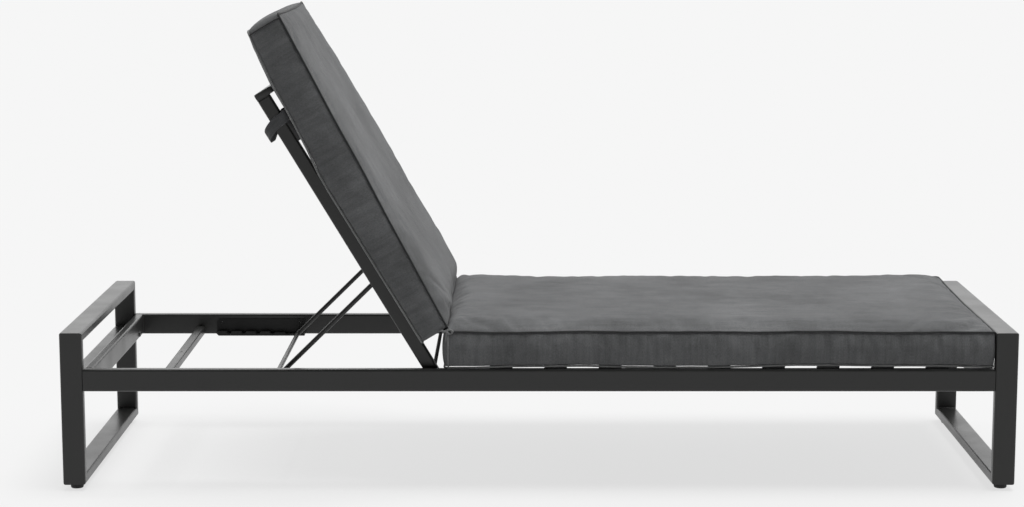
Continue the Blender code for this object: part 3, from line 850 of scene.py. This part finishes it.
def corner_knots():
    """A tied loop of piping at each corner where the two pads meet, with its link and its tail."""
    loops = []
    for side, sign in SIDES:
        middle = Vector((SEAT_START + 0.0105, sign * (PAD_HALF + 0.0015), DECK + SEAT_SEAMS[1] + 0.001))
        ring = [middle + Vector((KNOT * cos(turn * pi / 8), sign * 0.0016 * sin(turn * pi / 4),
                                 KNOT * 0.7 * sin(turn * pi / 8))) for turn in range(16)]
        loops.append(ring + ring[:1])
        loops.append([middle + Vector((-0.0185 + 0.0023 * step, sign * 0.0008,
                                       0.0035 - 0.0028 * sin(step * pi / 6))) for step in range(6)])
        loops.append([middle + Vector((-0.006 - 0.0004 * step, sign * 0.001, -0.002 - 0.0045 * step))
                      for step in range(5)])
    # The knots take the lighter piping cloth, whose pale tone is a painted highlight.
    beads("corner_knots", loops, "frame", PAINTED_LIGHT_HEM_CLOTH, PIPING * 1.2, 0.0022, 0.10)


# ---------------------------------------------------------------- straps

def strap(side, sign):
    """A webbing loop round a backrest tube, higher over its front than in its slack behind."""
    tube_in, tube_out = sorted(abs(corner.y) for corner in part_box(f"backrest_tube_{side}"))
    middle, half_wide = (tube_in + tube_out) / 2, (tube_out - tube_in) / 2 + STRAP_THICKNESS
    steps, across = 56, 5
    bm = bmesh.new()
    cloth = bm.loops.layers.uv.new("cloth")

    def spot(turn, offset, place):
        """A squarish loop: flat at the front, rounded at the slack back."""
        ahead = sin(turn) > 0
        wide = abs(cos(turn)) ** (0.30 if ahead else 0.62) * (1 if cos(turn) > 0 else -1)
        deep = abs(sin(turn)) ** (0.30 if ahead else 0.85)
        out = (STRAP_FRONT if ahead else STRAP_SLACK) * deep + offset * sin(turn)
        y = middle + wide * (half_wide + offset)
        along = at(STRAP_COURSE, turn % (2 * pi) / pi)
        return on_back(along + place, sign * y, out)

    skins = [[[bm.verts.new(spot(2 * pi * row / steps + 0.02, offset, STRAP_WIDTH * (j / across - 0.5)))
               for j in range(across + 1)] for row in range(steps)] for offset in (0.0, STRAP_THICKNESS)]
    quads = []
    for i in range(steps):
        n = i + 1
        for j in range(across):
            quads.append(((0, i, j), (0, n, j), (0, n, j + 1), (0, i, j + 1)))
            quads.append(((1, i, j), (1, i, j + 1), (1, n, j + 1), (1, n, j)))
        quads.append(((0, i, 0), (1, i, 0), (1, n, 0), (0, n, 0)))
        quads.append(((0, i, across), (0, n, across), (1, n, across), (1, i, across)))
    for quad in quads:
        face = bm.faces.new([skins[skin][row % steps][j] for skin, row, j in quad])
        for loop, (skin, row, j) in zip(face.loops, quad):
            loop[cloth].uv = (j * STRAP_WIDTH / across, row * STRAP_MAP_STEP)
    bmesh.ops.recalc_face_normals(bm, faces=bm.faces)
    mesh = bpy.data.meshes.new(f"strap_loop_{side}")
    bm.to_mesh(mesh)
    bm.free()
    made = new_object(f"strap_loop_{side}", mesh, WEBBING)
    finer = made.modifiers.new("finer", "SUBSURF")
    finer.levels = finer.render_levels = 1
    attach(made, "backrest")
    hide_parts(f"strap_{side}")


# ---------------------------------------------------------------- studio

def studio():
    """A white floor, a pale room that is brighter behind and above, and a broad light overhead."""
    scene = bpy.context.scene
    scene.view_settings.view_transform = "Standard"
    eye = bpy.data.cameras.new("camera")
    eye.lens, eye.sensor_width = 80.72, 36.0
    eye.shift_x = -0.0086
    eye.clip_end = 300.0
    camera = bpy.data.objects.new("camera", eye)
    camera.location = (-0.038, -5.039, 1.214)
    camera.rotation_euler = (radians(90 - 8.58), 0.0, 0.0)
    scene.collection.objects.link(camera)
    scene.camera = camera

    mesh = bpy.data.meshes.new("floor")
    reach = 150.0
    mesh.from_pydata([(-reach, -reach, 0), (reach, -reach, 0), (reach, reach, 0), (-reach, reach, 0)], [],
                     [(0, 1, 2, 3)])
    floor = new_object("floor", mesh, smooth=False)
    paper = bpy.data.materials.new("studio_floor")
    paper.use_nodes = True
    shader = paper.node_tree.nodes["Principled BSDF"]
    shader.inputs["Base Color"].default_value = (0.135, 0.135, 0.135, 1)
    shader.inputs["Roughness"].default_value = 1.0
    shader.inputs["Specular IOR Level"].default_value = 0.0
    shader.inputs["Emission Color"].default_value = (1, 1, 1, 1)
    shader.inputs["Emission Strength"].default_value = 0.70
    mesh.materials.append(paper)

    world = bpy.data.worlds.new("studio")
    world.use_nodes = True
    tree = world.node_tree
    tree.nodes.clear()
    out = tree.nodes.new("ShaderNodeOutputWorld")
    place = tree.nodes.new("ShaderNodeTexCoord")
    split = tree.nodes.new("ShaderNodeSeparateXYZ")
    wire(tree, place.outputs["Generated"], split.inputs[0])
    behind = spread_node(tree, split.outputs["Y"], 0.07, 1.72, (-0.5, 0.6))
    low = spread_node(tree, split.outputs["Z"], 1.0, 0.85, (0.25, 0.75))
    glow = tree.nodes.new("ShaderNodeBackground")
    wire(tree, math_node(tree, "MULTIPLY", behind, low), glow.inputs["Strength"])
    wall = tree.nodes.new("ShaderNodeBackground")
    wall.inputs["Color"].default_value = (0.92, 0.92, 0.92, 1)
    path = tree.nodes.new("ShaderNodeLightPath")
    mix = tree.nodes.new("ShaderNodeMixShader")
    wire(tree, path.outputs["Is Camera Ray"], mix.inputs[0])
    wire(tree, glow.outputs[0], mix.inputs[1])
    wire(tree, wall.outputs[0], mix.inputs[2])
    wire(tree, mix.outputs[0], out.inputs["Surface"])
    scene.world = world

    lamp = bpy.data.lights.new("overhead", "SUN")
    lamp.energy = 3.3
    lamp.angle = radians(34)
    light = bpy.data.objects.new("overhead", lamp)
    light.rotation_euler = Vector((0.17, 0.0, 1.0)).to_track_quat("Z", "Y").to_euler()
    scene.collection.objects.link(light)


studio()
finish_cad_nodes()
frame_details()
seat_pad()
back_pad()
corner_knots()
for strap_side, strap_sign in SIDES:
    strap(strap_side, strap_sign)
